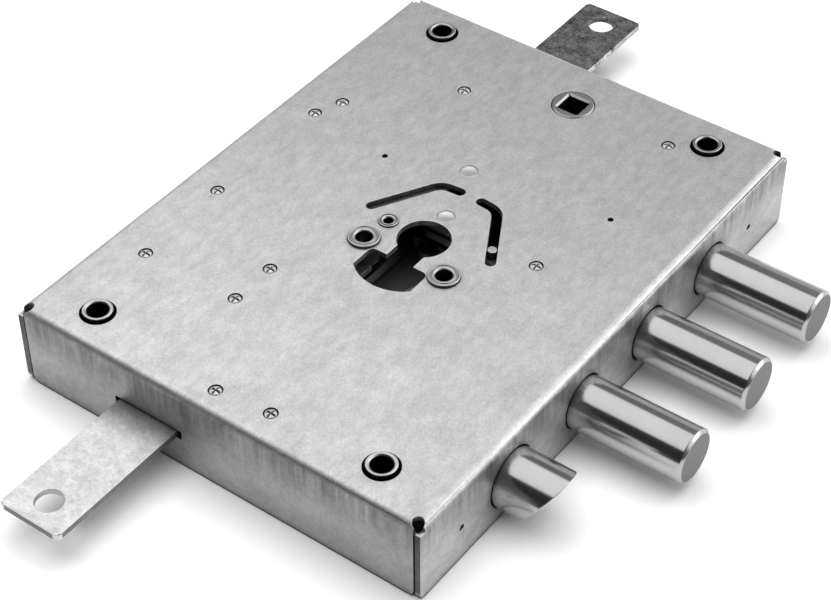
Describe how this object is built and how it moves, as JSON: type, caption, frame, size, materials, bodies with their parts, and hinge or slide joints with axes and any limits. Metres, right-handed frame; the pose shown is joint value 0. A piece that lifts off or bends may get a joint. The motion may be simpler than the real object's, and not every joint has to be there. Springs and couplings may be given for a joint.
{
  "type": "multipoint mortice door lock",
  "caption": "Sheet steel mortice lock case with round deadbolts, a bevelled latch, and flat rods that leave both ends of the case.",
  "frame": {"origin": "axis of the profile cylinder's bore, at the underside of the case (the outer face of the cover plate)", "axes": "+X is the throw of the deadbolts and the latch, +Y runs up along the rods towards the follower, +Z leaves the visible face of the case"},
  "size_m": [0.192, 0.3077, 0.0312],
  "materials": {
    "case_zinc": "galvanised, satin with faint stains",
    "cover_zinc": "galvanised, satin",
    "inner_zinc": "zinc plated, dull",
    "rod_zinc": "zinc plated, mottled",
    "bolt_chrome": "polished nickel or chrome plate",
    "bush_steel": "turned steel, bright",
    "pin_steel": "turned steel, staked",
    "rivet_steel": "ground flush, bright",
    "hard_steel": "hardened, grey",
    "screw_steel": "zinc plated",
    "spring_steel": "oiled wire",
    "follower_steel": "sintered, machined face"
  },
  "bodies": {
    "case": {"case_body": "case_zinc", "cover_plate": "cover_zinc", "cover_screws": "screw_steel", "cover_posts": "pin_steel", "corner_bushes": "bush_steel", "cylinder_bushes": "bush_steel", "small_bush": "bush_steel", "drill_plate": "hard_steel", "plate_rivets": "rivet_steel", "bolt_guide_plate": "inner_zinc", "rod_guide_pins": "pin_steel", "carriage_guide_pin": "pin_steel", "detent_pivot": "pin_steel", "link_guide_pin": "pin_steel", "bracket_pin": "pin_steel", "latch_bracket": "inner_zinc", "detent_spring": "spring_steel", "follower_spring": "spring_steel", "latch_spring": "spring_steel"},
    "carriage": {"bolt_carriage": "inner_zinc", "deadbolt_top": "bolt_chrome", "deadbolt_middle": "bolt_chrome", "deadbolt_bottom": "bolt_chrome", "bolt_screws": "screw_steel", "rod_drive_pins": "pin_steel"},
    "upper_rod": {"upper_rod": "rod_zinc"},
    "lower_rod": {"lower_rod": "rod_zinc"},
    "detent": {"detent_lever": "inner_zinc", "detent_stud": "pin_steel"},
    "handle_follower": {"follower": "follower_steel", "follower_pin": "pin_steel"},
    "link": {"latch_link": "inner_zinc", "link_stud": "pin_steel"},
    "latch": {"latch_bolt": "bolt_chrome", "latch_stud": "pin_steel"}
  },
  "joints": [
    {"name": "bolt_slide", "type": "slide", "parent": "case", "child": "carriage", "axis": [1, 0, 0], "range_m": [-0.036, 0]},
    {"name": "upper_rod_slide", "type": "slide", "parent": "case", "child": "upper_rod", "axis": [0, 1, 0], "range_m": [-0.02, 0]},
    {"name": "lower_rod_slide", "type": "slide", "parent": "case", "child": "lower_rod", "axis": [0, 1, 0], "range_m": [0, 0.02]},
    {"name": "detent_turn", "type": "hinge", "parent": "case", "child": "detent", "pos_m": [-0.0678, 0.0304, 0.0165], "axis": [0, 0, 1], "range_deg": [-3.9, 0], "stiffness_Nm_per_rad": 0.02, "springref_deg": -11.46, "deforming": ["detent_spring"]},
    {"name": "handle_turn", "type": "hinge", "parent": "case", "child": "handle_follower", "pos_m": [0, 0.085, 0.015], "axis": [0, 0, 1], "range_deg": [0, 45], "stiffness_Nm_per_rad": 0.5, "springref_deg": -34.38, "deforming": ["follower_spring"]},
    {"name": "link_slide", "type": "slide", "parent": "case", "child": "link", "axis": [-0.4918, 0.8707, 0], "range_m": [0, 0.013]},
    {"name": "latch_slide", "type": "slide", "parent": "case", "child": "latch", "axis": [1, 0, 0], "range_m": [-0.018, 0], "stiffness_N_per_m": 200, "springref_m": 0.02, "deforming": ["latch_spring"]}
  ],
  "couplings": [
    {"joint": "upper_rod_slide", "follows": "bolt_slide", "ratio": 0.55555},
    {"joint": "lower_rod_slide", "follows": "bolt_slide", "ratio": -0.55555},
    {"joint": "handle_turn", "follows": "latch_slide", "rad_per_m": -43.633},
    {"joint": "link_slide", "follows": "latch_slide", "ratio": -0.72222}
  ]
}
